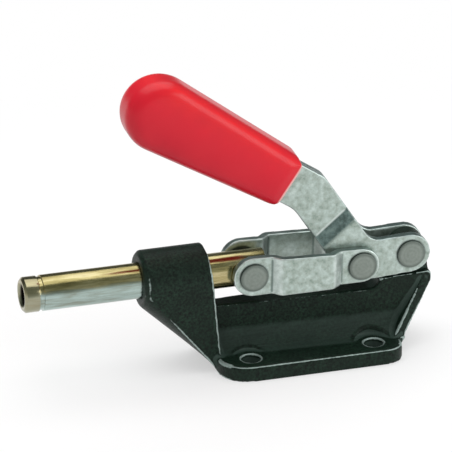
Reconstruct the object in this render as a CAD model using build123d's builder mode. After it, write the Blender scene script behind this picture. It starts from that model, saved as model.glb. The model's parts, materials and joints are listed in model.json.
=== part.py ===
from build123d import *
import os
from math import asin, atan2, cos, degrees, radians, sin, sqrt, tan

# A push-pull toggle clamp. A forged base carries a round plunger in a boss at
# its front and a swinging handle on a lug at its back. Two links join the
# handle to the plunger, so that the handle's swing drives the plunger along X.
# The clamp is drawn closed: the crank pin lies just below the line between the
# other two pins, and the handle rests on the base.
#
# Millimetres. +X is the way the plunger pushes, +Z is up, and the origin is the
# centre of the four mounting holes, on the underside of the base.

# ---------------------------------------------------------------- sizes

# Mounting flange and its four holes
bolt_spacing_x = 45.0
bolt_spacing_y = 29.4
bolt_hole_diameter = 7.0
spotface_diameter = 14.4
flange_thickness = 5.6
flange_side_margin = 7.3
flange_front_margin = 11.3
flange_rear_margin = 10.0
flange_front_corner = 10.5
flange_rear_corner = 6.5
flange_edge_chamfer = 0.7

# Plunger
plunger_axis_height = 34.0
plunger_diameter = 12.7
plunger_reach = 42.2
plunger_heel = 5.8
plunger_nose_chamfer = 0.9
plunger_groove_setback = 5.5
plunger_groove_width = 1.5
plunger_groove_depth = 0.45
thread_core_diameter = 6.8
thread_depth = 18.0
thread_mouth_diameter = 9.1
thread_mouth_angle = 90.0

# Linkage
pivot_setback = 38.8
crank_radius = 18.9
crank_drop = 0.85
link_length = 39.7

# Rivets and their bushes
rivet_shank_diameter = 7.0
rivet_head_diameter = 10.0
rivet_head_height = 0.95
bush_wall = 1.6
spacer_wall = 2.0

# Handle plates, a mirrored pair of joggled pressings
plate_thickness = 3.0
plate_gap = 6.0
pivot_eye_radius = 7.1
crank_eye_radius = 7.4
arm_width = 15.4
arm_length = 32.6
arm_angle = 57.5
arm_crotch_radius = 7.0
arm_elbow_radius = 12.0
joggle_angle = 50.0
joggle_start = 13.2
joggle_run = 4.4
plate_bend_radius = 2.6
tang_length = 44.0

# Grip
grip_angle = 34.1
grip_mouth_setback = 9.4
grip_length = 69.0
grip_neck_width = 20.4
grip_end_width = 27.4
grip_rise = 0.3
grip_thickness = 16.4
grip_edge_round = 5.4
grip_mouth_round = 4.6
grip_mouth_bevel_run = 4.6
grip_mouth_bevel = 1.8

# Links, a mirrored pair of joggled pressings
link_thickness = 2.8
link_front_eye_radius = 7.2
link_rear_eye_radius = 6.3
link_front_land = 7.4
link_front_joggle = 2.6
link_rear_land = 8.2
link_rear_joggle = 3.6
link_bulge = 2.9
link_bend_radius = 2.4

# Base forging
web_front_width = 6.4
web_rear_width = 13.5
web_foot_radius = 7.4
ledge_drop = 3.8
ledge_step_setback = 11.3
ledge_step_land = 0.2
lug_thickness = 5.8
lug_eye_radius = 6.8
lug_heel = 0.6
gusset_thickness = 3.6
gusset_lip = 3.6
gusset_lip_round = 1.2
gusset_foot_width = 28.0
gusset_foot_inset = 1.2
boss_wall = 4.25
boss_length = 24.6
boss_edge_chamfer = 1.4
tower_lean = 5.0
tower_foot_inset = 1.6
tower_side_drop = 2.2
tower_foot_edge = 1.0

# Clearances
plunger_clearance = 0.05
pin_clearance = 0.05
press_clearance = 0.01
side_clearance = 0.1
link_side_gap = 0.45
head_clearance = 0.05
stop_clearance = 0.5
tang_clearance = 0.05
pin_end_gap = 0.1

# ---------------------------------------------------------------- places

axis_z = plunger_axis_height
plunger_radius = plunger_diameter / 2
shank_radius = rivet_shank_diameter / 2
head_radius = rivet_head_diameter / 2

pivot_x = -pivot_setback
crank_x = pivot_x + sqrt(crank_radius**2 - crank_drop**2)
crank_z = axis_z - crank_drop
plunger_pin_x = crank_x + sqrt(link_length**2 - crank_drop**2)

flange_front = bolt_spacing_x / 2 + flange_front_margin
flange_rear = -bolt_spacing_x / 2 - flange_rear_margin
flange_half_width = bolt_spacing_y / 2 + flange_side_margin

boss_radius = plunger_radius + boss_wall
tower_foot_x = flange_front - tower_foot_inset
tower_lean_run = tan(radians(tower_lean))
tower_back_x = tower_foot_x + (axis_z - flange_thickness) * tower_lean_run
boss_front_x = tower_back_x + boss_length
plunger_tip_x = boss_front_x + plunger_reach
plunger_heel_x = plunger_pin_x - plunger_heel

# Layers across the clamp, from the middle out
plate_inner = plate_gap / 2
plate_outer = plate_inner + plate_thickness
link_inner = max(plate_outer + link_side_gap, plunger_radius + side_clearance)
link_outer = link_inner + link_thickness
link_bulge_outer = link_outer + link_bulge

# The handle plates' lower edge is tangent to both eyes
eye_line_angle = atan2(crank_z - axis_z, crank_x - pivot_x)
lower_edge_angle = eye_line_angle - asin((crank_eye_radius - pivot_eye_radius) / crank_radius)


def shelf_z(x):
    """Height of the shelf that stops the handle, parallel to the plates' lower edge."""
    edge = axis_z + (x - pivot_x) * tan(lower_edge_angle) - pivot_eye_radius / cos(lower_edge_angle)
    return edge - stop_clearance


# ---------------------------------------------------------------- base

shelf_rear_x = pivot_x - lug_eye_radius - lug_heel
ledge_step_x = pivot_x + ledge_step_setback
ledge_height = shelf_z(ledge_step_x) - ledge_drop


def keel_section(x, top, bottom):
    """The rounded keel under the tower, cut across X: a chord and an arc."""
    with BuildSketch(Plane.YZ.offset(x)) as section:
        with BuildLine():
            Line((boss_radius, top), (-boss_radius, top))
            ThreePointArc((-boss_radius, top), (0, bottom), (boss_radius, top))
        make_face()
    return section.sketch


# The tower leans back a little over the flange and carries the plunger's boss,
# whose bevelled mouth stands just ahead of the tower's flat sides.
tower_top_z = axis_z + boss_radius
tower_front_x = boss_front_x - boss_edge_chamfer
tower_side_z = axis_z - tower_side_drop

with BuildPart() as boss_form:
    with BuildSketch(Plane.YZ.offset(boss_front_x)):
        with Locations((0, axis_z)):
            Circle(boss_radius)
    extrude(amount=tower_foot_x - boss_front_x)
    chamfer(boss_form.faces().sort_by(Axis.X)[-1].edges(), boss_edge_chamfer)

with BuildPart() as tower_form:
    with BuildSketch(Plane.XZ):
        with BuildLine():
            Polyline(
                (tower_foot_x - tower_foot_inset, tower_foot_edge),
                (flange_front, tower_foot_edge),
                (tower_front_x, tower_side_z),
                (tower_front_x, axis_z),
                (tower_foot_x - tower_foot_inset, axis_z),
                close=True,
            )
        make_face()
    extrude(amount=boss_radius, both=True)
    foot_keel = keel_section(flange_front, tower_foot_edge, tower_foot_edge / 2)
    head_keel = keel_section(tower_front_x, tower_side_z, axis_z - boss_radius)
    loft([foot_keel, head_keel], ruled=True)
    add(boss_form.part)
    with BuildSketch(Plane.XZ):
        with BuildLine():
            Polyline(
                (tower_foot_x, flange_thickness),
                (tower_foot_x + (tower_top_z - flange_thickness) * tower_lean_run, tower_top_z),
                (flange_rear, tower_top_z),
                (flange_rear, flange_thickness),
                close=True,
            )
        make_face()
    extrude(amount=2 * boss_radius, both=True, mode=Mode.SUBTRACT)

# The web is a ledge under the linkage that steps up to the handle's stop, and
# a slanted gusset closes its rear end and spreads out to the flange.
shelf_rear_z = shelf_z(shelf_rear_x)
gusset_top_z = shelf_rear_z - gusset_lip
gusset_foot_x = flange_rear + gusset_foot_inset
gusset_slope = (gusset_foot_x - shelf_rear_x, gusset_top_z)
gusset_length = sqrt(gusset_slope[0] ** 2 + gusset_slope[1] ** 2)
gusset_plane = Plane(
    origin=(shelf_rear_x, 0, gusset_top_z),
    x_dir=(0, 1, 0),
    z_dir=(-gusset_slope[1], 0, -gusset_slope[0]),
)

# The web tapers in plan, and a concave flare along each side spreads it to the flange.
web_run = tower_back_x - shelf_rear_x
web_side_angle = atan2((web_rear_width - web_front_width) / 2, web_run)
flare_plane = Plane(
    origin=(shelf_rear_x, web_rear_width / 2, flange_thickness),
    x_dir=(sin(web_side_angle), cos(web_side_angle), 0),
    z_dir=(cos(web_side_angle), -sin(web_side_angle), 0),
)

with BuildPart() as web_form:
    with BuildSketch(flare_plane):
        with BuildLine():
            Line((web_foot_radius, 0), (web_foot_radius, -flange_thickness))
            Line((web_foot_radius, -flange_thickness), (0, -flange_thickness))
            Line((0, -flange_thickness), (0, web_foot_radius))
            RadiusArc((0, web_foot_radius), (web_foot_radius, 0), -web_foot_radius)
        make_face()
    extrude(amount=web_run)
    mirror(about=Plane.XZ)
    with BuildSketch():
        with BuildLine():
            Polyline(
                (shelf_rear_x, -web_rear_width / 2),
                (tower_back_x, -web_front_width / 2),
                (tower_back_x, web_front_width / 2),
                (shelf_rear_x, web_rear_width / 2),
                close=True,
            )
        make_face()
    extrude(amount=axis_z)
    with BuildSketch(gusset_plane):
        with BuildLine():
            Polyline(
                (-web_rear_width / 2, 0),
                (web_rear_width / 2, 0),
                (gusset_foot_width / 2, gusset_length),
                (-gusset_foot_width / 2, gusset_length),
                close=True,
            )
        make_face()
    extrude(amount=-gusset_thickness)
    with BuildSketch(Plane.XZ) as web_side:
        with BuildLine():
            Polyline(
                (gusset_foot_x, 0),
                (shelf_rear_x, gusset_top_z),
                (shelf_rear_x, shelf_rear_z),
                (ledge_step_x, shelf_z(ledge_step_x)),
                (ledge_step_x, ledge_height),
                (tower_back_x, ledge_height),
                (tower_foot_x, 0),
                close=True,
            )
        make_face()
        step_corner = web_side.vertices().sort_by_distance((ledge_step_x, ledge_height))[0]
        fillet(step_corner, ledge_drop - ledge_step_land)
        lip_corner = web_side.vertices().sort_by_distance((shelf_rear_x, shelf_rear_z))[0]
        fillet(lip_corner, gusset_lip_round)
    extrude(amount=flange_half_width, both=True, mode=Mode.INTERSECT)

with BuildPart() as base:
    with BuildSketch() as flange_outline:
        with Locations(((flange_front + flange_rear) / 2, 0)):
            Rectangle(flange_front - flange_rear, 2 * flange_half_width)
        fillet(flange_outline.vertices().group_by(Axis.X)[-1], flange_front_corner)
        fillet(flange_outline.vertices().group_by(Axis.X)[0], flange_rear_corner)
    extrude(amount=flange_thickness)
    chamfer(base.faces().sort_by(Axis.Z)[-1].edges(), flange_edge_chamfer)
    add(web_form.part)
    with BuildSketch(Plane.XZ):
        with Locations((pivot_x, axis_z)):
            Circle(lug_eye_radius)
        with BuildLine():
            Polyline(
                (pivot_x - lug_eye_radius, axis_z),
                (shelf_rear_x, shelf_rear_z - gusset_lip / 2),
                (pivot_x, ledge_height),
                (pivot_x + lug_eye_radius, ledge_height),
                (pivot_x + lug_eye_radius, axis_z),
                close=True,
            )
        make_face()
    extrude(amount=lug_thickness / 2, both=True)
    add(tower_form.part)
    with BuildSketch(Plane.XZ):
        with Locations((pivot_x, axis_z)):
            Circle(shank_radius + bush_wall + press_clearance)
    extrude(amount=lug_thickness, both=True, mode=Mode.SUBTRACT)
    with BuildSketch(Plane.YZ.offset(boss_front_x)):
        with Locations((0, axis_z)):
            Circle(plunger_radius + plunger_clearance)
    extrude(amount=-2 * boss_length, mode=Mode.SUBTRACT)
    with BuildSketch():
        with GridLocations(bolt_spacing_x, bolt_spacing_y, 2, 2):
            Circle(bolt_hole_diameter / 2)
    extrude(amount=flange_thickness, mode=Mode.SUBTRACT)
    with BuildSketch(Plane.XY.offset(flange_thickness)):
        with GridLocations(bolt_spacing_x, bolt_spacing_y, 2, 2):
            Circle(spotface_diameter / 2)
    extrude(amount=web_foot_radius, mode=Mode.SUBTRACT)

# ---------------------------------------------------------------- plunger

plunger_plane = Plane(origin=(0, 0, axis_z), x_dir=(1, 0, 0), z_dir=(0, -1, 0))
groove_front_x = plunger_tip_x - plunger_groove_setback

with BuildPart() as plunger:
    with BuildSketch(plunger_plane) as plunger_profile:
        with BuildLine():
            Polyline(
                (plunger_heel_x, 0),
                (plunger_heel_x, plunger_radius),
                (groove_front_x - plunger_groove_width, plunger_radius),
                (groove_front_x - plunger_groove_width, plunger_radius - plunger_groove_depth),
                (groove_front_x, plunger_radius - plunger_groove_depth),
                (groove_front_x, plunger_radius),
                (plunger_tip_x, plunger_radius),
                (plunger_tip_x, 0),
                close=True,
            )
        make_face()
        nose = plunger_profile.vertices().sort_by_distance((plunger_tip_x, plunger_radius))[0]
        chamfer(nose, plunger_nose_chamfer)
    revolve(axis=Axis((0, 0, axis_z), (1, 0, 0)))
    with BuildSketch(plunger_plane):
        with Locations((plunger_pin_x, 0)):
            Circle(shank_radius + press_clearance)
    extrude(amount=plunger_diameter, both=True, mode=Mode.SUBTRACT)
    with Locations(Plane(origin=(plunger_tip_x, 0, axis_z), z_dir=(1, 0, 0))):
        CounterSinkHole(thread_core_diameter / 2, thread_mouth_diameter / 2, thread_depth, thread_mouth_angle)

# ---------------------------------------------------------------- handle

elbow_x = crank_x + arm_length * cos(radians(arm_angle))
elbow_z = crank_z + arm_length * sin(radians(arm_angle))


def pressed_strip(plane, folds, thickness, bend_radius, half_width):
    """A strip of sheet pressed along a line of folds, across the plane it is drawn in."""
    with BuildPart() as strip:
        with BuildSketch(plane):
            with BuildLine():
                FilletPolyline(*folds, radius=bend_radius)
            trace(line_width=thickness)
        extrude(amount=half_width, both=True)
    return strip.part


def plate_outline(clearance=0.0):
    """The handle plates' outline: two eyes, the arm between crank and elbow, and the tang."""
    half = arm_width / 2 + clearance
    arm_run = (elbow_x - crank_x, elbow_z - crank_z)
    tang_run = (tang_length * cos(radians(grip_angle)), tang_length * sin(radians(grip_angle)))
    with BuildSketch(Plane.XZ) as outline:
        with Locations((pivot_x, axis_z)):
            Circle(pivot_eye_radius + clearance)
        with Locations((crank_x, crank_z)):
            Circle(crank_eye_radius + clearance)
        make_hull()
        with Locations((crank_x + arm_run[0] / 2, crank_z + arm_run[1] / 2)):
            SlotCenterToCenter(arm_length, 2 * half, rotation=arm_angle)
        with Locations((elbow_x + tang_run[0] / 2, elbow_z + tang_run[1] / 2)):
            SlotCenterToCenter(tang_length, 2 * half, rotation=grip_angle)
        crotch_guess = (crank_x - crank_eye_radius / 2, axis_z + crank_eye_radius)
        crotch = outline.vertices().sort_by_distance(crotch_guess)[0]
        fillet(crotch, arm_crotch_radius)
        elbow_guess = (elbow_x + arm_width / 2, elbow_z - arm_width / 2)
        elbow = outline.vertices().sort_by_distance(elbow_guess)[0]
        fillet(elbow, arm_elbow_radius)
    return outline.sketch


# The pair stands apart around the lug, and is joggled in to meet inside the grip.
plate_mid = (plate_inner + plate_outer) / 2
joggle_end = joggle_start + joggle_run
press_plane = Plane(
    origin=(crank_x, 0, crank_z),
    x_dir=(cos(radians(joggle_angle)), 0, sin(radians(joggle_angle))),
    z_dir=(sin(radians(joggle_angle)), 0, -cos(radians(joggle_angle))),
)
press_reach = arm_length + tang_length + crank_radius
plate_folds = [
    (-press_reach, plate_mid),
    (joggle_start, plate_mid),
    (joggle_end, plate_thickness / 2),
    (press_reach, plate_thickness / 2),
]

with BuildPart() as handle_plate_left:
    add(pressed_strip(press_plane, plate_folds, plate_thickness, plate_bend_radius, press_reach))
    extrude(plate_outline(), amount=press_reach, both=True, dir=(0, 1, 0), mode=Mode.INTERSECT)
    with BuildSketch(Plane.XZ):
        with Locations((pivot_x, axis_z), (crank_x, crank_z)):
            Circle(shank_radius + press_clearance)
    extrude(amount=2 * plate_outer, both=True, mode=Mode.SUBTRACT)

with BuildPart() as handle_plate_right:
    mirror(handle_plate_left.part, about=Plane.XZ)

# The grip is moulded over the tang: a tapered bar with a domed end, well rounded
# along both sides, with rounded corners and a bevel on each side at its mouth.
grip_plane = Plane(
    origin=(
        elbow_x + grip_mouth_setback * cos(radians(grip_angle)),
        0,
        elbow_z + grip_mouth_setback * sin(radians(grip_angle)),
    ),
    x_dir=(cos(radians(grip_angle)), 0, sin(radians(grip_angle))),
    z_dir=(0, -1, 0),
)
grip_top_plane = Plane(
    origin=grip_plane.origin,
    x_dir=grip_plane.x_dir,
    z_dir=grip_plane.y_dir,
)
grip_end_radius = grip_end_width / 2
grip_half = grip_thickness / 2

with BuildSketch(grip_plane) as grip_outline:
    with Locations((grip_length - grip_end_radius, grip_rise)):
        Circle(grip_end_radius)
    with Locations((grip_mouth_bevel_run / 2, grip_rise)):
        Rectangle(grip_mouth_bevel_run, grip_neck_width)
    make_hull()

with BuildSketch(grip_plane) as grip_mouth_outline:
    add(grip_outline.sketch_local)
    fillet(grip_mouth_outline.vertices().sort_by(Axis.X)[0:2], grip_mouth_round)

with BuildPart() as grip:
    extrude(grip_outline.sketch, amount=grip_half, both=True, dir=(0, 1, 0))
    side_faces = grip.faces().sort_by(Axis.Y)
    side_edges = side_faces[0].edges() + side_faces[-1].edges()
    fillet(side_edges.sort_by(Axis(grip_plane.origin, grip_plane.x_dir))[2:], grip_edge_round)
    extrude(grip_mouth_outline.sketch, amount=grip_half, both=True, dir=(0, 1, 0), mode=Mode.INTERSECT)
    with BuildSketch(grip_top_plane):
        with BuildLine():
            Polyline(
                (0, grip_mouth_bevel - grip_half),
                (grip_mouth_bevel_run, -grip_half),
                (grip_length, -grip_half),
                (grip_length, grip_half),
                (grip_mouth_bevel_run, grip_half),
                (0, grip_half - grip_mouth_bevel),
                close=True,
            )
        make_face()
    extrude(amount=grip_end_width, both=True, mode=Mode.INTERSECT)
    extrude(
        plate_outline(tang_clearance),
        amount=plate_thickness + tang_clearance,
        both=True,
        dir=(0, 1, 0),
        mode=Mode.SUBTRACT,
    )

# ---------------------------------------------------------------- links

link_rise = degrees(atan2(axis_z - crank_z, plunger_pin_x - crank_x))
link_plane = Plane(
    origin=(plunger_pin_x, 0, axis_z),
    x_dir=(-cos(radians(link_rise)), 0, -sin(radians(link_rise))),
    z_dir=(-sin(radians(link_rise)), 0, cos(radians(link_rise))),
)
link_mid = (link_inner + link_outer) / 2
link_reach = link_length + link_front_eye_radius + link_rear_eye_radius
link_rear_fold = link_length - link_rear_land
link_folds = [
    (-link_reach, link_mid),
    (link_front_land, link_mid),
    (link_front_land + link_front_joggle, link_mid + link_bulge),
    (link_rear_fold - link_rear_joggle, link_mid + link_bulge),
    (link_rear_fold, link_mid),
    (link_reach, link_mid),
]

with BuildPart() as link_left:
    add(pressed_strip(link_plane, link_folds, link_thickness, link_bend_radius, link_reach))
    with BuildSketch(Plane.XZ):
        with Locations((plunger_pin_x, axis_z)):
            Circle(link_front_eye_radius)
        with Locations((crank_x, crank_z)):
            Circle(link_rear_eye_radius)
        make_hull()
    extrude(amount=link_reach, both=True, mode=Mode.INTERSECT)
    with BuildSketch(Plane.XZ):
        with Locations((plunger_pin_x, axis_z)):
            Circle(shank_radius + press_clearance)
        with Locations((crank_x, crank_z)):
            Circle(shank_radius + pin_clearance)
    extrude(amount=2 * link_bulge_outer, both=True, mode=Mode.SUBTRACT)

with BuildPart() as link_right:
    mirror(link_left.part, about=Plane.XZ)

# ---------------------------------------------------------------- pins


def rivet_plane(x, z):
    """A plane through a rivet's axis: across the clamp first, then outwards."""
    return Plane(origin=(x, 0, z), x_dir=(0, 1, 0), z_dir=(1, 0, 0))


def rivet(x, z, seat):
    """A rivet across the clamp, with a flat head on each side of the seats."""
    crown = seat + rivet_head_height
    with BuildPart() as pin:
        with BuildSketch(rivet_plane(x, z)) as half:
            with BuildLine():
                Polyline(
                    (0, 0),
                    (0, shank_radius),
                    (seat, shank_radius),
                    (seat, head_radius),
                    (crown, head_radius),
                    (crown, 0),
                    close=True,
                )
            make_face()
            mirror(about=Plane.YZ)
        revolve(axis=Axis((x, 0, z), (0, 1, 0)))
    return pin.part


with BuildPart() as pivot_pin:
    add(rivet(pivot_x, axis_z, plate_outer))

with BuildPart() as crank_pin:
    add(rivet(crank_x, crank_z, link_outer + head_clearance))

# The plunger's pin is drawn as its core in the rod and its two ends in the
# links, so that the linkage is open there.
with BuildPart() as plunger_pin:
    add(rivet(plunger_pin_x, axis_z, link_outer))
    with BuildSketch(plunger_plane):
        with Locations((plunger_pin_x, 0)):
            Circle(head_radius)
    extrude(amount=plunger_radius - pin_end_gap, both=True, mode=Mode.INTERSECT)

with BuildPart() as plunger_pin_ends:
    add(rivet(plunger_pin_x, axis_z, link_outer))
    with BuildSketch(plunger_plane):
        with Locations((plunger_pin_x, 0)):
            Circle(head_radius)
    extrude(amount=link_inner, both=True, mode=Mode.SUBTRACT)

with BuildPart() as pivot_bush:
    with BuildSketch(Plane.XZ):
        with Locations((pivot_x, axis_z)):
            Circle(shank_radius + bush_wall)
            Circle(shank_radius + pin_clearance, mode=Mode.SUBTRACT)
    extrude(amount=lug_thickness / 2, both=True)

with BuildPart() as crank_spacer:
    with BuildSketch(Plane.XZ):
        with Locations((crank_x, crank_z)):
            Circle(shank_radius + spacer_wall)
            Circle(shank_radius + press_clearance, mode=Mode.SUBTRACT)
    extrude(amount=plate_inner, both=True)

# ---------------------------------------------------------------- files

pieces = {
    "base": base,
    "pivot_bush": pivot_bush,
    "handle_plate_left": handle_plate_left,
    "handle_plate_right": handle_plate_right,
    "grip": grip,
    "pivot_pin": pivot_pin,
    "crank_pin": crank_pin,
    "crank_spacer": crank_spacer,
    "link_left": link_left,
    "link_right": link_right,
    "plunger_pin_ends": plunger_pin_ends,
    "plunger": plunger,
    "plunger_pin": plunger_pin,
}

os.makedirs("parts", exist_ok=True)
for name, piece in pieces.items():
    piece.part.label = name
    export_step(piece.part, f"parts/{name}.step")
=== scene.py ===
import json
import math

import bmesh
import bpy
import numpy as np
from mathutils import Matrix, Vector


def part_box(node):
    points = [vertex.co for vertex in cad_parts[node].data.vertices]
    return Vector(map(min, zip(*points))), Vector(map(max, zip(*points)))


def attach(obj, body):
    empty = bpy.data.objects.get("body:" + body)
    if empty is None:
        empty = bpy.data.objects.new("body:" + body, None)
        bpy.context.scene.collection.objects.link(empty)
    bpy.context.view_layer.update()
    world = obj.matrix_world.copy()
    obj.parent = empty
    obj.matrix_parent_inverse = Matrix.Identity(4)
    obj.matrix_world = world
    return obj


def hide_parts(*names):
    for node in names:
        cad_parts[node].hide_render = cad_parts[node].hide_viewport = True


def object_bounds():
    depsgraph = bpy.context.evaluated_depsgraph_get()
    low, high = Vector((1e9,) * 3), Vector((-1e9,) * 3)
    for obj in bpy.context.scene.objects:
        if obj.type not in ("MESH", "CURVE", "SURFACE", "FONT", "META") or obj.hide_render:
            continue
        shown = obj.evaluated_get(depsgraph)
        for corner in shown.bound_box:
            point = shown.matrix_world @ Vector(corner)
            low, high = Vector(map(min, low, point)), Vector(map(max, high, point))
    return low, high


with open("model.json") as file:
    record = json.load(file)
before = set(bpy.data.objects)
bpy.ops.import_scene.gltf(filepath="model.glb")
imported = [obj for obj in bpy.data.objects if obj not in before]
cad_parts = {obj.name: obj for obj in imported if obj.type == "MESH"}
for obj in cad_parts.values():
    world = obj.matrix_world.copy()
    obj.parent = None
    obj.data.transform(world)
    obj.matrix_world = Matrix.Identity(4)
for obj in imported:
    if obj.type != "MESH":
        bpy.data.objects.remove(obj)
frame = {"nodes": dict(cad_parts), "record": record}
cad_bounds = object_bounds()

MM = 0.001

# A Mix node's sockets go by number, because its colour and value sockets share their names.
FACTOR, COLOUR_A, COLOUR_B, COLOUR_OUT = 0, 6, 7, 2
VALUE_A, VALUE_B = 2, 3

# Directions: a mask that drops Y, and the ways along and across the grip when the clamp is closed.
WITHOUT_Y = (1, 0, 1)
GRIP_ANGLE = math.radians(34.1)
GRIP_ALONG = (math.cos(GRIP_ANGLE), 0, math.sin(GRIP_ANGLE))
GRIP_ACROSS = (-math.sin(GRIP_ANGLE), 0, math.cos(GRIP_ANGLE))

# The attribute that holds how far a skin bulges, and what brings a square arris to about 1 in it.
BULGE = "bulge"
BULGE_GAIN = 8.0

# Even skins: the size of their quads, and how many rounds of easing soften their edges.
FORGING_SKIN, FORGING_ROUNDS = 0.5 * MM, 2
VINYL_SKIN, VINYL_ROUNDS = 0.6 * MM, 8
SHEET_SKIN, SHEET_ROUNDS = 0.35 * MM, 1

# Edges that a tool left: the peened rivet heads and the ground plunger.
RIVET_EDGE, RIVET_EDGE_STEPS = 0.3 * MM, 3
ROD_EDGE, ROD_EDGE_STEPS = 0.15 * MM, 2

# The vinyl shrinks to this share of its height across the grip, about a line above its lower edge.
GRIP_SHRINK = 0.962
GRIP_SHRINK_LINE = 8 * MM

# The groove round the plunger lies this far behind its tip.
GROOVE_SETBACK = 5.5 * MM

# How far up the flange's worn arris faces, as the Z of its normal.
ARRIS_TILT = 0.68

# Points of a CAD mesh this close are one, and faces this near to flat are joined.
SAME_POINT = 0.001 * MM
FLAT_ENOUGH = math.radians(0.4)

# Edges sharper than the first are rounded over, and those blunter than the second shade smoothly.
SHARP_EDGE = math.radians(25)
SMOOTH_EDGE = math.radians(35)


# ---------------------------------------------------------------- small helpers

def linear(hex_colour):
    """An sRGB hex colour as linear red, green, blue and alpha."""
    parts = [int(hex_colour[i:i + 2], 16) / 255 for i in (1, 3, 5)]
    return [c / 12.92 if c <= 0.04045 else ((c + 0.055) / 1.055) ** 2.4 for c in parts] + [1.0]


def grain(size_mm):
    """The texture scale that gives features of that size, on coordinates in metres."""
    return 1 / (size_mm * MM)


def add_node(tree, kind, inputs=None, **settings):
    """One shader node: its settings, and its inputs by name or index, as values or as sockets to link."""
    node = tree.nodes.new(kind)
    for name, value in settings.items():
        setattr(node, name, value)
    for key, value in (inputs or {}).items():
        if isinstance(value, bpy.types.NodeSocket):
            tree.links.new(value, node.inputs[key])
        else:
            node.inputs[key].default_value = value
    return node


def colour_steps(ramp_node, steps):
    """Set a colour ramp's places and hex colours."""
    ramp = ramp_node.color_ramp
    for position, colour in steps[1:-1]:
        ramp.elements.new(position)
    for element, (position, colour) in zip(ramp.elements, steps):
        element.position = position
        element.color = linear(colour)


def new_material(name):
    """An empty node material: the material, its node tree and its Principled shader."""
    material = bpy.data.materials.new(name)
    material.use_nodes = True
    tree = material.node_tree
    return material, tree, tree.nodes["Principled BSDF"]


def pin_centre(node):
    """The middle of a pin, which lies on its axis."""
    low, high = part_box(node)
    return (low + high) / 2


# ---------------------------------------------------------------- finishes

def red_vinyl(low, high, mouth):
    """Dip-moulded PVC: orange-red above and crimson below, with soft highlights and a faint orange peel.

    The orange-red above and crimson below are painted shade, and so is the deeper red along its rounded
    edges; the pale lip at its mouth is a painted highlight. The peel is drawn coarser than the real one,
    so that it shows.
    """
    material, tree, shader = new_material("red_dipped_vinyl")
    coordinates = add_node(tree, "ShaderNodeTexCoord")
    place = coordinates.outputs["Object"]
    # Painted shade: lighter orange-red towards the top of the grip, darker crimson towards its lower edge.
    climb = add_node(
        tree, "ShaderNodeVectorMath", {0: place, 1: GRIP_ACROSS}, operation="DOT_PRODUCT"
    ).outputs["Value"]
    painted_shade_height = add_node(tree, "ShaderNodeMapRange", {"Value": climb, "From Min": low, "From Max": high})
    painted_shade_ramp = add_node(tree, "ShaderNodeValToRGB", {"Fac": painted_shade_height.outputs["Result"]})
    colour_steps(painted_shade_ramp, [(0.0, "#9C001E"), (0.3, "#C20524"), (0.6, "#E0142B"), (1.0, "#F42E28")])
    cloud = add_node(tree, "ShaderNodeTexNoise", {"Vector": place, "Scale": grain(9), "Detail": 3.0})
    tone = add_node(
        tree, "ShaderNodeMix",
        {FACTOR: cloud.outputs["Fac"], COLOUR_A: painted_shade_ramp.outputs["Color"], COLOUR_B: linear("#D01A2C")},
        data_type="RGBA",
    )
    # Painted shade: the rounded edges, whose normals turn up or down across the grip, are darkened to
    # crimson.
    edge_shade_facing = add_node(
        tree, "ShaderNodeVectorMath", {0: coordinates.outputs["Normal"], 1: GRIP_ACROSS},
        operation="DOT_PRODUCT",
    )
    turned = add_node(tree, "ShaderNodeMath", {0: edge_shade_facing.outputs["Value"]}, operation="ABSOLUTE")
    rounding = add_node(
        tree, "ShaderNodeMapRange",
        {"Value": turned.outputs[0], "From Min": 0.72, "From Max": 0.98, "To Max": 0.6},
    )
    rounded = add_node(
        tree, "ShaderNodeMix",
        {FACTOR: rounding.outputs["Result"], COLOUR_A: tone.outputs[COLOUR_OUT], COLOUR_B: linear("#A0001C")},
        data_type="RGBA",
    )
    along = add_node(
        tree, "ShaderNodeVectorMath", {0: place, 1: GRIP_ALONG}, operation="DOT_PRODUCT"
    ).outputs["Value"]
    # Painted highlight: a pale line along the lip at the grip's mouth.
    lip = add_node(
        tree, "ShaderNodeMapRange",
        {"Value": along, "From Min": mouth + 1.5 * MM, "From Max": mouth + 1.0 * MM, "To Max": 0.8},
    )
    lip_highlighted = add_node(
        tree, "ShaderNodeMix",
        {FACTOR: lip.outputs["Result"], COLOUR_A: rounded.outputs[COLOUR_OUT], COLOUR_B: linear("#F0C4BE")},
        data_type="RGBA",
    )
    peel = add_node(tree, "ShaderNodeTexNoise", {"Vector": place, "Scale": grain(2.2), "Detail": 3.0})
    bump = add_node(
        tree, "ShaderNodeBump",
        {"Strength": 0.12, "Distance": 0.1 * MM, "Height": peel.outputs["Fac"]},
    )
    tree.links.new(lip_highlighted.outputs[COLOUR_OUT], shader.inputs["Base Color"])
    tree.links.new(bump.outputs["Normal"], shader.inputs["Normal"])
    shader.inputs["Roughness"].default_value = 0.28
    shader.inputs["Specular IOR Level"].default_value = 0.27
    shader.inputs["IOR"].default_value = 1.53
    return material


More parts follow.
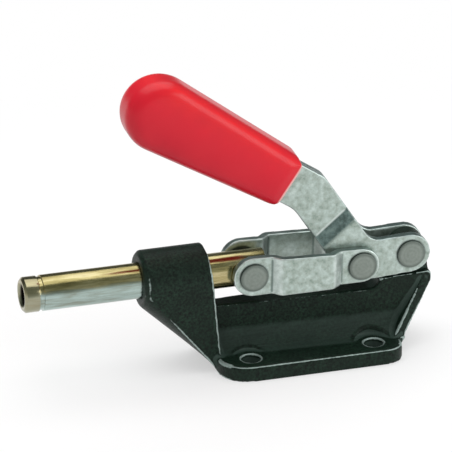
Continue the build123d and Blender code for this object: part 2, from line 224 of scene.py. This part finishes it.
def black_forging():
    """Black oxide over a forged and shot-blasted skin: green-black and pebbled, with an oily shine.

    Where the skin bulges most it has rubbed through, so its arrises show pale, broken lines of steel,
    and its hollows are a little lighter, which is a painted highlight. The middle of the forging is
    handled least, and the flange's upper arris is rubbed to a thin, unbroken line. The blasting is
    drawn coarser than real shot leaves it, so that it shows.
    """
    material, tree, shader = new_material("black_oxide_forging")
    coordinates = add_node(tree, "ShaderNodeTexCoord")
    place = coordinates.outputs["Object"]
    pebble = add_node(
        tree, "ShaderNodeTexNoise",
        {"Vector": place, "Scale": grain(0.9), "Detail": 4.0, "Roughness": 0.65},
    )
    stain = add_node(tree, "ShaderNodeTexNoise", {"Vector": place, "Scale": grain(9), "Detail": 3.0})
    speckle = add_node(
        tree, "ShaderNodeMapRange",
        {"Value": pebble.outputs["Fac"], "From Min": 0.36, "From Max": 0.66},
    )
    skin = add_node(
        tree, "ShaderNodeMix",
        {FACTOR: speckle.outputs["Result"], COLOUR_A: linear("#020704"), COLOUR_B: linear("#263F31")},
        data_type="RGBA",
    )
    tone = add_node(
        tree, "ShaderNodeMix",
        {FACTOR: stain.outputs["Fac"], COLOUR_A: skin.outputs[COLOUR_OUT], COLOUR_B: linear("#0D1A13")},
        data_type="RGBA",
    )
    bulge = add_node(tree, "ShaderNodeAttribute", attribute_name=BULGE).outputs["Fac"]
    # Painted highlight: the hollows, fillets and spotface walls are made lighter, as if they caught the
    # light.
    hollow = add_node(
        tree, "ShaderNodeMapRange",
        {"Value": bulge, "From Min": -0.03, "From Max": -0.18, "To Max": 0.75},
    )
    hollow_highlighted = add_node(
        tree, "ShaderNodeMix",
        {FACTOR: hollow.outputs["Result"], COLOUR_A: tone.outputs[COLOUR_OUT], COLOUR_B: linear("#3C4C45")},
        data_type="RGBA",
    )
    chips = add_node(
        tree, "ShaderNodeTexNoise",
        {"Vector": place, "Scale": grain(2.2), "Detail": 5.0, "Roughness": 0.7},
    )
    across = add_node(tree, "ShaderNodeSeparateXYZ", {0: place}).outputs["Y"]
    outward = add_node(tree, "ShaderNodeMath", {0: across}, operation="ABSOLUTE")
    reached = add_node(
        tree, "ShaderNodeMapRange",
        {"Value": outward.outputs[0], "From Min": 5 * MM, "From Max": 11 * MM,
         "To Min": -0.48, "To Max": 0.2},
    )
    flange = add_node(
        tree, "ShaderNodeMapRange",
        {"Value": outward.outputs[0], "From Min": 18.3 * MM, "From Max": 19.3 * MM},
    )
    facing_up = add_node(tree, "ShaderNodeSeparateXYZ", {0: coordinates.outputs["Normal"]}).outputs["Z"]
    tilt = add_node(tree, "ShaderNodeMath", {0: facing_up, 1: ARRIS_TILT}, operation="SUBTRACT")
    off_arris = add_node(tree, "ShaderNodeMath", {0: tilt.outputs[0]}, operation="ABSOLUTE")
    arris = add_node(
        tree, "ShaderNodeMapRange",
        {"Value": off_arris.outputs[0], "From Min": 0.24, "From Max": 0.06, "To Max": 0.72},
    )
    exposed = add_node(
        tree, "ShaderNodeMix",
        {FACTOR: flange.outputs["Result"], VALUE_A: bulge, VALUE_B: arris.outputs["Result"]},
        data_type="FLOAT",
    )
    broken = add_node(
        tree, "ShaderNodeMath", {0: chips.outputs["Fac"], 1: exposed.outputs[0]}, operation="ADD"
    )
    handled = add_node(
        tree, "ShaderNodeMath", {0: broken.outputs[0], 1: reached.outputs["Result"]}, operation="ADD"
    )
    rubbed = add_node(
        tree, "ShaderNodeMapRange",
        {"Value": handled.outputs[0], "From Min": 1.1, "From Max": 1.35},
    ).outputs["Result"]
    worn = add_node(
        tree, "ShaderNodeMix",
        {FACTOR: rubbed, COLOUR_A: hollow_highlighted.outputs[COLOUR_OUT], COLOUR_B: linear("#A3B3AE")},
        data_type="RGBA",
    )
    sheen = add_node(
        tree, "ShaderNodeMapRange",
        {"Value": pebble.outputs["Fac"], "To Min": 0.3, "To Max": 0.6},
    )
    bump = add_node(
        tree, "ShaderNodeBump",
        {"Strength": 0.8, "Distance": 0.2 * MM, "Height": pebble.outputs["Fac"]},
    )
    bare = add_node(tree, "ShaderNodeMath", {0: rubbed, 1: 0.6}, operation="MULTIPLY")
    tree.links.new(worn.outputs[COLOUR_OUT], shader.inputs["Base Color"])
    tree.links.new(bare.outputs[0], shader.inputs["Metallic"])
    tree.links.new(sheen.outputs["Result"], shader.inputs["Roughness"])
    tree.links.new(bump.outputs["Normal"], shader.inputs["Normal"])
    shader.inputs["Specular IOR Level"].default_value = 0.17
    return material


def zinc_sheet(name, pins, head_radius, fold_light_colour, slope_light_colours):
    """Zinc-plated pressed steel: pale green-grey, cloudy and satin, with grime round the rivet heads.

    Its sheared edges are duller than its faces. Its arrises carry a painted highlight, the hollows of its
    folds and its slopes carry painted light and shade in the colours the caller gives, and the dark ring
    round the rivet heads is soiling and painted shadow.
    """
    material, tree, shader = new_material(name)
    place = add_node(tree, "ShaderNodeTexCoord").outputs["Object"]
    cloud = add_node(
        tree, "ShaderNodeTexNoise",
        {"Vector": place, "Scale": grain(2.5), "Detail": 6.0, "Roughness": 0.65},
    )
    plating = add_node(tree, "ShaderNodeValToRGB", {"Fac": cloud.outputs["Fac"]})
    colour_steps(plating, [(0.34, "#8D9D93"), (0.45, "#A5B2A9"), (0.55, "#B2C1BA"), (0.68, "#C6D3CD")])
    facing = add_node(tree, "ShaderNodeNewGeometry").outputs["Normal"]
    across = add_node(tree, "ShaderNodeSeparateXYZ", {0: facing}).outputs["Y"]
    turned = add_node(tree, "ShaderNodeMath", {0: across}, operation="ABSOLUTE")
    cut = add_node(
        tree, "ShaderNodeMapRange",
        {"Value": turned.outputs[0], "From Min": 0.45, "From Max": 0.2, "To Max": 0.75},
    )
    # Painted light on the slopes of the folds, in the colours given: painted shade on the handle, painted
    # highlight on the links.
    slope_light_share = add_node(
        tree, "ShaderNodeMapRange",
        {"Value": turned.outputs[0], "From Min": 0.97, "From Max": 0.87, "To Max": 0.7},
    )
    slope_light_tone = add_node(tree, "ShaderNodeValToRGB", {"Fac": cloud.outputs["Fac"]})
    colour_steps(slope_light_tone, [(0.42, slope_light_colours[0]), (0.62, slope_light_colours[1])])
    slope_lit = add_node(
        tree, "ShaderNodeMix",
        {FACTOR: slope_light_share.outputs["Result"], COLOUR_A: plating.outputs["Color"],
         COLOUR_B: slope_light_tone.outputs["Color"]},
        data_type="RGBA",
    )
    sheared = add_node(
        tree, "ShaderNodeMix",
        {FACTOR: cut.outputs["Result"], COLOUR_A: slope_lit.outputs[COLOUR_OUT], COLOUR_B: linear("#5F716D")},
        data_type="RGBA",
    )
    bulge = add_node(tree, "ShaderNodeAttribute", attribute_name=BULGE).outputs["Fac"]
    # Painted light in the hollows of the folds, in the colour given: a painted highlight on the handle,
    # painted shade on the links.
    hollow = add_node(
        tree, "ShaderNodeMapRange",
        {"Value": bulge, "From Min": -0.12, "From Max": -0.4, "To Max": 0.8},
    )
    fold_lit = add_node(
        tree, "ShaderNodeMix",
        {FACTOR: hollow.outputs["Result"], COLOUR_A: sheared.outputs[COLOUR_OUT],
         COLOUR_B: linear(fold_light_colour)},
        data_type="RGBA",
    )
    # Painted highlight: a pale line along the arrises.
    ridge = add_node(
        tree, "ShaderNodeMapRange",
        {"Value": bulge, "From Min": 0.4, "From Max": 1.0, "To Max": 0.45},
    ).outputs["Result"]
    ridge_highlighted = add_node(
        tree, "ShaderNodeMix",
        {FACTOR: ridge, COLOUR_A: fold_lit.outputs[COLOUR_OUT], COLOUR_B: linear("#E4EDEA")},
        data_type="RGBA",
    )
    flat = add_node(
        tree, "ShaderNodeVectorMath", {0: place, 1: WITHOUT_Y}, operation="MULTIPLY"
    ).outputs["Vector"]
    # A dark ring round each rivet head: soiling, and painted shadow where the head sits on the plate.
    grime_and_shadow = None
    for pin in pins:
        centre = (pin.x, 0, pin.z)
        away = add_node(tree, "ShaderNodeVectorMath", {0: flat, 1: centre}, operation="DISTANCE")
        ring = add_node(
            tree, "ShaderNodeMapRange",
            {"Value": away.outputs["Value"], "From Min": head_radius + 0.7 * MM, "From Max": head_radius},
        ).outputs["Result"]
        if grime_and_shadow is None:
            grime_and_shadow = ring
        else:
            grime_and_shadow = add_node(tree, "ShaderNodeMath", {0: grime_and_shadow, 1: ring}, operation="MAXIMUM").outputs[0]
    dirt_and_shadow = add_node(tree, "ShaderNodeMath", {0: grime_and_shadow, 1: 0.85}, operation="MULTIPLY")
    tone = add_node(
        tree, "ShaderNodeMix",
        {FACTOR: dirt_and_shadow.outputs[0], COLOUR_A: ridge_highlighted.outputs[COLOUR_OUT], COLOUR_B: linear("#2C3432")},
        data_type="RGBA",
    )
    gloss = add_node(
        tree, "ShaderNodeMapRange",
        {"Value": cloud.outputs["Fac"], "To Min": 0.26, "To Max": 0.44},
    )
    bump = add_node(
        tree, "ShaderNodeBump",
        {"Strength": 0.15, "Distance": 0.06 * MM, "Height": cloud.outputs["Fac"]},
    )
    tree.links.new(tone.outputs[COLOUR_OUT], shader.inputs["Base Color"])
    tree.links.new(gloss.outputs["Result"], shader.inputs["Roughness"])
    tree.links.new(bump.outputs["Normal"], shader.inputs["Normal"])
    shader.inputs["Metallic"].default_value = 0.85
    return material


def rivet_steel(name, centre, radius):
    """Bare mild steel, peened over: dull grey, with faint rings round its axis and a darker rim."""
    material, tree, shader = new_material(name)
    place = add_node(tree, "ShaderNodeTexCoord").outputs["Object"]
    centred = add_node(tree, "ShaderNodeMapping", {"Vector": place, "Location": (-centre.x, 0, -centre.z)})
    rings = add_node(
        tree, "ShaderNodeTexWave",
        {"Vector": centred.outputs["Vector"], "Scale": grain(4.5), "Distortion": 2.5, "Detail": 2.0,
         "Detail Scale": 1.5},
        wave_type="RINGS", rings_direction="Y",
    )
    pits = add_node(
        tree, "ShaderNodeTexNoise",
        {"Vector": place, "Scale": grain(0.9), "Detail": 4.0, "Roughness": 0.7},
    )
    mottled = add_node(
        tree, "ShaderNodeMix",
        {FACTOR: pits.outputs["Fac"], COLOUR_A: linear("#717A73"), COLOUR_B: linear("#939C94")},
        data_type="RGBA",
    )
    faint = add_node(tree, "ShaderNodeMath", {0: rings.outputs["Fac"], 1: 0.12}, operation="MULTIPLY")
    tone = add_node(
        tree, "ShaderNodeMix",
        {FACTOR: faint.outputs[0], COLOUR_A: mottled.outputs[COLOUR_OUT], COLOUR_B: linear("#A9AFA8")},
        data_type="RGBA",
    )
    flattened = add_node(
        tree, "ShaderNodeVectorMath", {0: centred.outputs["Vector"], 1: WITHOUT_Y}, operation="MULTIPLY",
    )
    from_axis = add_node(
        tree, "ShaderNodeVectorMath", {0: flattened.outputs["Vector"]}, operation="LENGTH",
    )
    rim = add_node(
        tree, "ShaderNodeMapRange",
        {"Value": from_axis.outputs["Value"], "From Min": radius - 1.1 * MM, "From Max": radius - 0.4 * MM,
         "To Max": 0.5},
    )
    struck = add_node(
        tree, "ShaderNodeMix",
        {FACTOR: rim.outputs["Result"], COLOUR_A: tone.outputs[COLOUR_OUT], COLOUR_B: linear("#4C5650")},
        data_type="RGBA",
    )
    bump = add_node(
        tree, "ShaderNodeBump",
        {"Strength": 0.25, "Distance": 0.06 * MM, "Height": pits.outputs["Fac"]},
    )
    tree.links.new(struck.outputs[COLOUR_OUT], shader.inputs["Base Color"])
    tree.links.new(bump.outputs["Normal"], shader.inputs["Normal"])
    shader.inputs["Metallic"].default_value = 0.7
    shader.inputs["Roughness"].default_value = 0.48
    return material


def yellow_chromate(guide_mouth, groove, axis_height):
    """Yellow-passivated zinc on a ground rod: mirror-like gold where it hides behind its guide.

    Ahead of the guide its underside is pale blue-grey, where the chromate is rubbed off and where a
    reflection of the white floor is painted, with gold streaks left along it. Its tip is tan, and its
    bore is painted dark as shade.
    """
    material, tree, shader = new_material("yellow_chromate_rod")
    place = add_node(tree, "ShaderNodeTexCoord").outputs["Object"]
    along = add_node(tree, "ShaderNodeMapping", {"Vector": place, "Scale": (0.12, 1.0, 1.0)})
    drift = add_node(
        tree, "ShaderNodeTexNoise",
        {"Vector": along.outputs["Vector"], "Scale": grain(2.2), "Detail": 5.0, "Roughness": 0.65},
    )
    gold = add_node(tree, "ShaderNodeValToRGB", {"Fac": drift.outputs["Fac"]})
    colour_steps(gold, [(0.32, "#857B50"), (0.46, "#A5996A"), (0.58, "#C0B489"), (0.75, "#A39678")])
    pale = add_node(tree, "ShaderNodeValToRGB", {"Fac": drift.outputs["Fac"]})
    colour_steps(pale, [(0.34, "#8A9081"), (0.45, "#9CAAA2"), (0.55, "#A9BBB5"), (0.75, "#B9CAC7")])
    split = add_node(tree, "ShaderNodeSeparateXYZ", {0: place})
    distance = split.outputs["X"]
    rubbed = add_node(
        tree, "ShaderNodeMapRange",
        {"Value": distance, "From Min": guide_mouth - 12 * MM, "From Max": guide_mouth - 8 * MM},
    )
    ragged = add_node(
        tree, "ShaderNodeMath", {0: drift.outputs["Fac"], 1: 4 * MM, 2: split.outputs["Z"]},
        operation="MULTIPLY_ADD",
    )
    # Painted reflection: ahead of the guide, the underside is pale as if mirroring the white floor, and the
    # chromate is rubbed off there too.
    underside = add_node(
        tree, "ShaderNodeMapRange",
        {"Value": ragged.outputs[0], "From Min": axis_height + 5 * MM, "From Max": axis_height + 3.6 * MM},
    )
    rubbed_and_floor_reflection = add_node(
        tree, "ShaderNodeMath", {0: rubbed.outputs["Result"], 1: underside.outputs["Result"]},
        operation="MULTIPLY",
    )
    film = add_node(
        tree, "ShaderNodeMix",
        {FACTOR: rubbed_and_floor_reflection.outputs[0], COLOUR_A: gold.outputs["Color"], COLOUR_B: pale.outputs["Color"]},
        data_type="RGBA",
    )
    tipped = add_node(
        tree, "ShaderNodeMapRange",
        {"Value": distance, "From Min": groove, "From Max": groove + 0.4 * MM, "To Max": 0.8},
    )
    tone = add_node(
        tree, "ShaderNodeMix",
        {FACTOR: tipped.outputs["Result"], COLOUR_A: film.outputs[COLOUR_OUT], COLOUR_B: linear("#9C9579")},
        data_type="RGBA",
    )
    # Painted shade: the bore at the tip is darkened.
    centred = add_node(
        tree, "ShaderNodeMapping", {"Vector": place, "Location": (0, 0, -axis_height), "Scale": (0, 1, 1)}
    )
    from_axis = add_node(
        tree, "ShaderNodeVectorMath", {0: centred.outputs["Vector"]}, operation="LENGTH",
    )
    core = add_node(
        tree, "ShaderNodeMapRange",
        {"Value": from_axis.outputs["Value"], "From Min": 4.2 * MM, "From Max": 3.6 * MM},
    )
    ahead = add_node(
        tree, "ShaderNodeMapRange",
        {"Value": distance, "From Min": guide_mouth, "From Max": guide_mouth + 1 * MM},
    )
    bore = add_node(
        tree, "ShaderNodeMath", {0: core.outputs["Result"], 1: ahead.outputs["Result"]},
        operation="MULTIPLY",
    )
    bore_shaded = add_node(
        tree, "ShaderNodeMix",
        {FACTOR: bore.outputs[0], COLOUR_A: tone.outputs[COLOUR_OUT], COLOUR_B: linear("#1C1815")},
        data_type="RGBA",
    )
    scratches = add_node(
        tree, "ShaderNodeTexNoise",
        {"Vector": along.outputs["Vector"], "Scale": grain(0.35), "Detail": 3.0},
    )
    gloss = add_node(
        tree, "ShaderNodeMapRange",
        {"Value": scratches.outputs["Fac"], "To Min": 0.1, "To Max": 0.28},
    )
    bump = add_node(
        tree, "ShaderNodeBump",
        {"Strength": 0.1, "Distance": 0.03 * MM, "Height": scratches.outputs["Fac"]},
    )
    tree.links.new(bore_shaded.outputs[COLOUR_OUT], shader.inputs["Base Color"])
    tree.links.new(gloss.outputs["Result"], shader.inputs["Roughness"])
    tree.links.new(bump.outputs["Normal"], shader.inputs["Normal"])
    shader.inputs["Metallic"].default_value = 1.0
    return material


# ---------------------------------------------------------------- pieces

def deselect_all():
    """Leave nothing selected, because an operator acts on all that is."""
    for item in bpy.context.selected_objects:
        item.select_set(False)


def merged_copy(node, name, material):
    """A selected copy of a CAD node, with its loose triangles merged into one smooth-shaded skin."""
    mesh = frame["nodes"][node].data.copy()
    mesh.name = name
    mesh.materials.clear()
    mesh.materials.append(material)
    form = bmesh.new()
    form.from_mesh(mesh)
    bmesh.ops.remove_doubles(form, verts=form.verts, dist=SAME_POINT)
    bmesh.ops.dissolve_limit(form, angle_limit=FLAT_ENOUGH, verts=form.verts, edges=form.edges)
    for face in form.faces:
        face.material_index = 0
        face.smooth = True
    form.to_mesh(mesh)
    form.free()
    piece = bpy.data.objects.new(name, mesh)
    bpy.context.scene.collection.objects.link(piece)
    deselect_all()
    piece.select_set(True)
    bpy.context.view_layer.objects.active = piece
    return piece


def stand_for(piece, node):
    """The piece takes the CAD node's place and body, and the CAD node is hidden."""
    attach(piece, bodies[node])
    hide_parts(node)


def finished_piece(node, name, material, edge_round, steps):
    """A CAD node with its sharp edges rounded over."""
    piece = merged_copy(node, name, material)
    rounding = piece.modifiers.new("rounded edges", "BEVEL")
    rounding.width = edge_round
    rounding.segments = steps
    rounding.limit_method = "ANGLE"
    rounding.angle_limit = SHARP_EDGE
    bpy.ops.object.modifier_apply(modifier=rounding.name)
    bpy.ops.object.shade_smooth_by_angle(angle=SMOOTH_EDGE)
    stand_for(piece, node)


def eased_piece(node, name, material, skin_size, rounds):
    """A CAD node given an even skin of small quads, whose edges are then eased."""
    piece = merged_copy(node, name, material)
    skin = piece.modifiers.new("even skin", "REMESH")
    skin.mode = "VOXEL"
    skin.voxel_size = skin_size
    skin.use_smooth_shade = True
    bpy.ops.object.modifier_apply(modifier=skin.name)
    easing = piece.modifiers.new("eased edges", "SMOOTH")
    easing.factor = 0.5
    easing.iterations = rounds
    bpy.ops.object.modifier_apply(modifier=easing.name)
    stand_for(piece, node)
    return piece


def mark_bulges(piece):
    """Store how far each point of an even skin stands out from its neighbours.

    It is about 1 on an arris, 0 on a flat face and -1 in a corner.
    """
    mesh = piece.data
    count = len(mesh.vertices)
    places = np.empty(count * 3)
    mesh.vertices.foreach_get("co", places)
    places = places.reshape(-1, 3)
    outwards = np.empty(count * 3)
    mesh.vertices.foreach_get("normal", outwards)
    outwards = outwards.reshape(-1, 3)
    ends = np.empty(len(mesh.edges) * 2, dtype=np.int64)
    mesh.edges.foreach_get("vertices", ends)
    starts = np.concatenate([ends[0::2], ends[1::2]])
    stops = np.concatenate([ends[1::2], ends[0::2]])
    ways = places[stops] - places[starts]
    ways /= np.maximum(np.linalg.norm(ways, axis=1), 1e-9)[:, None]
    neighbours = np.maximum(np.bincount(starts, minlength=count), 1)
    rises = np.einsum("ij,ij->i", ways, outwards[starts])
    bulge = -np.bincount(starts, rises, minlength=count) / neighbours
    for _ in range(2):
        around = np.bincount(starts, bulge[stops], minlength=count) / neighbours
        bulge = (bulge + around) / 2
    mark = mesh.attributes.new(BULGE, "FLOAT", "POINT")
    mark.data.foreach_set("value", (bulge * BULGE_GAIN).astype(np.float32))


# The finishes follow the rivets, the grip and the plunger, whose places come from the CAD.
pins = {name: pin_centre(name) for name in ("pivot_pin", "crank_pin", "plunger_pin_ends")}
low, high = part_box("pivot_pin")
head_radius = (high.x - low.x) / 2

forging = black_forging()
# The handle's fold hollows take a painted highlight and its slopes painted shade; the links' fold hollows
# take painted shade and their slopes a painted highlight.
plate_zinc = zinc_sheet(
    "zinc_plated_handle_sheet", [pins["pivot_pin"], pins["crank_pin"]], head_radius, "#E6EFEC",
    ("#4A6264", "#86A09E"),
)
link_zinc = zinc_sheet(
    "zinc_plated_link_sheet", [pins["crank_pin"], pins["plunger_pin_ends"]], head_radius, "#5B6A65",
    ("#BECBC6", "#DAE4E0"),
)
rivets = {
    name: rivet_steel(f"peened_steel_{name}", centre, head_radius) for name, centre in pins.items()
}
grip_points = [v.co for v in frame["nodes"]["grip"].data.vertices]
grip_heights = [p.dot(Vector(GRIP_ACROSS)) for p in grip_points]
grip_mouth = min(p.dot(Vector(GRIP_ALONG)) for p in grip_points)
vinyl = red_vinyl(min(grip_heights), max(grip_heights), grip_mouth)
chromate = yellow_chromate(
    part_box("base")[1].x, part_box("plunger")[1].x - GROOVE_SETBACK, pin_centre("plunger").z,
)

bodies = {
    node: body
    for body, members in frame["record"]["behaviour"]["bodies"].items()
    for node in members
}

mark_bulges(eased_piece("base", "forged_base", forging, FORGING_SKIN, FORGING_ROUNDS))

grip = eased_piece("grip", "vinyl_grip", vinyl, VINYL_SKIN, VINYL_ROUNDS)
to_line = Matrix.Translation((min(grip_heights) + GRIP_SHRINK_LINE) * Vector(GRIP_ACROSS))
grip.data.transform(to_line @ Matrix.Scale(GRIP_SHRINK, 4, GRIP_ACROSS) @ to_line.inverted())

for side in ("left", "right"):
    for part, zinc in (("handle_plate", plate_zinc), ("link", link_zinc)):
        node = f"{part}_{side}"
        mark_bulges(eased_piece(node, f"pressed_{node}", zinc, SHEET_SKIN, SHEET_ROUNDS))

for name, material in rivets.items():
    finished_piece(name, f"peened_{name}", material, RIVET_EDGE, RIVET_EDGE_STEPS)
finished_piece("plunger", "ground_plunger", chromate, ROD_EDGE, ROD_EDGE_STEPS)

# The hidden pieces keep their CAD meshes and take the rivets' steel.
for node in ("pivot_bush", "crank_spacer", "plunger_pin"):
    frame["nodes"][node].data.materials.clear()
    frame["nodes"][node].data.materials.append(rivets["crank_pin"])


# ---------------------------------------------------------------- stage and light

FLOOR_SIZE = 8.0
FLOOR_DROP = 0.1 * MM
SHADOW_REACH = 90 * MM
SHADOW_END = 240 * MM
PAPER_GLOW = 0.5


def pale_floor():
    """Seamless white paper, which keeps a soft shadow under the object and runs off to plain white.

    Lamps light it as paper. Seen directly, mirrored or through glass, part of it is plain white.
    """
    material, tree, shader = new_material("white_paper_floor")
    shader.inputs["Base Color"].default_value = linear("#F6F6F6")
    shader.inputs["Roughness"].default_value = 0.9
    shader.inputs["Specular IOR Level"].default_value = 0.1
    place = add_node(tree, "ShaderNodeTexCoord").outputs["Object"]
    reach = add_node(tree, "ShaderNodeVectorMath", {0: place}, operation="LENGTH").outputs["Value"]
    path = add_node(tree, "ShaderNodeLightPath")
    far = add_node(
        tree, "ShaderNodeMapRange",
        {"Value": reach, "From Min": SHADOW_REACH, "From Max": SHADOW_END, "To Min": PAPER_GLOW},
        interpolation_type="SMOOTHSTEP",
    )
    seen = add_node(
        tree, "ShaderNodeMath",
        {0: path.outputs["Is Camera Ray"], 1: path.outputs["Is Glossy Ray"]},
        operation="MAXIMUM",
    )
    through = add_node(
        tree, "ShaderNodeMath",
        {0: seen.outputs[0], 1: path.outputs["Is Transmission Ray"]},
        operation="MAXIMUM",
    )
    share = add_node(
        tree, "ShaderNodeMath", {0: far.outputs["Result"], 1: through.outputs[0]}, operation="MULTIPLY"
    )
    white = add_node(tree, "ShaderNodeEmission")
    blend = add_node(
        tree, "ShaderNodeMixShader",
        {0: share.outputs[0], 1: shader.outputs[0], 2: white.outputs[0]},
    )
    tree.links.new(blend.outputs[0], tree.nodes["Material Output"].inputs["Surface"])
    return material


deselect_all()
bpy.ops.mesh.primitive_plane_add(size=FLOOR_SIZE, location=(0, 0, -FLOOR_DROP))
floor = bpy.context.active_object
floor.name = "paper_floor"
floor.data.materials.append(pale_floor())


def white_studio():
    """A white studio under a grey ceiling: metal mirrors white low down and a duller grey overhead.

    In mirrors the far side is darker than the near one, and what is seen directly is plain white.
    """
    world = bpy.data.worlds.new("white_studio")
    world.use_nodes = True
    tree = world.node_tree
    path = add_node(tree, "ShaderNodeLightPath")
    way = add_node(tree, "ShaderNodeTexCoord").outputs["Generated"]
    split = add_node(tree, "ShaderNodeSeparateXYZ", {0: way})
    climb = add_node(tree, "ShaderNodeMapRange", {"Value": split.outputs["Z"], "From Min": -0.1})
    ceiling = add_node(tree, "ShaderNodeValToRGB", {"Fac": climb.outputs["Result"]})
    colour_steps(ceiling, [(0.05, "#FFFFFF"), (0.14, "#D6DBD9"), (0.33, "#A0A8A5"), (0.6, "#88918D")])
    behind = add_node(
        tree, "ShaderNodeMapRange",
        {"Value": split.outputs["Y"], "From Min": -0.2, "From Max": -0.6, "To Min": 1.0, "To Max": 0.3},
    )
    mirrored = add_node(
        tree, "ShaderNodeVectorMath", {0: ceiling.outputs["Color"], "Scale": behind.outputs["Result"]},
        operation="SCALE",
    )
    lit = add_node(
        tree, "ShaderNodeMix",
        {FACTOR: path.outputs["Is Glossy Ray"], COLOUR_A: linear("#D0D0D0"),
         COLOUR_B: mirrored.outputs["Vector"]},
        data_type="RGBA",
    )
    direct = add_node(
        tree, "ShaderNodeMath",
        {0: path.outputs["Is Camera Ray"], 1: path.outputs["Is Transmission Ray"]},
        operation="MAXIMUM",
    )
    seen = add_node(
        tree, "ShaderNodeMix",
        {FACTOR: direct.outputs[0], COLOUR_A: lit.outputs[COLOUR_OUT], COLOUR_B: linear("#FFFFFF")},
        data_type="RGBA",
    )
    tree.links.new(seen.outputs[COLOUR_OUT], tree.nodes["Background"].inputs["Color"])
    bpy.context.scene.world = world


white_studio()

# The viewer's directions: back towards the viewer, right and up.
VIEW_AZIMUTH = math.radians(163.5)
VIEW_ELEVATION = math.radians(25)
back = Vector((
    math.sin(VIEW_AZIMUTH) * math.cos(VIEW_ELEVATION),
    -math.cos(VIEW_AZIMUTH) * math.cos(VIEW_ELEVATION),
    math.sin(VIEW_ELEVATION),
))
right = Vector((0, 0, 1)).cross(back).normalized()
up = back.cross(right)
middle = (cad_bounds[0] + cad_bounds[1]) / 2


def softbox(name, offset, size, power):
    """A square soft light that faces the middle of the object, in metres and watts."""
    data = bpy.data.lights.new(name, "AREA")
    data.shape = "SQUARE"
    data.size = size
    data.energy = power
    lamp = bpy.data.objects.new(name, data)
    bpy.context.scene.collection.objects.link(lamp)
    lamp.location = middle + offset
    lamp.rotation_mode = "QUATERNION"
    lamp.rotation_quaternion = offset.to_track_quat("Z", "Y")


softbox("overhead_softbox", offset=0.6 * Vector((0, -0.25, 0.97)), size=0.74, power=2.9)
softbox("side_softbox", offset=0.8 * (0.88 * right + 0.45 * back + 0.13 * up), size=0.45, power=1.7)

# ---------------------------------------------------------------- camera

# A long lens from far off, aimed a little to the side of the origin and above it.
FRAME_WIDTH = 157.7 * MM
CAMERA_DISTANCE = 2.5
AIM_RIGHT = -26.14 * MM
AIM_UP = 42.73 * MM

aim = AIM_RIGHT * right + AIM_UP * up
aim += back * (middle.dot(back) - aim.dot(back))
lens = bpy.data.cameras.new("camera")
lens.sensor_width = 36
lens.lens = lens.sensor_width * CAMERA_DISTANCE / FRAME_WIDTH
lens.clip_end = 100
camera = bpy.data.objects.new("camera", lens)
bpy.context.scene.collection.objects.link(camera)
camera.location = aim + back * CAMERA_DISTANCE
camera.rotation_mode = "QUATERNION"
camera.rotation_quaternion = back.to_track_quat("Z", "Y")
bpy.context.scene.camera = camera
bpy.context.scene.view_settings.view_transform = "Standard"
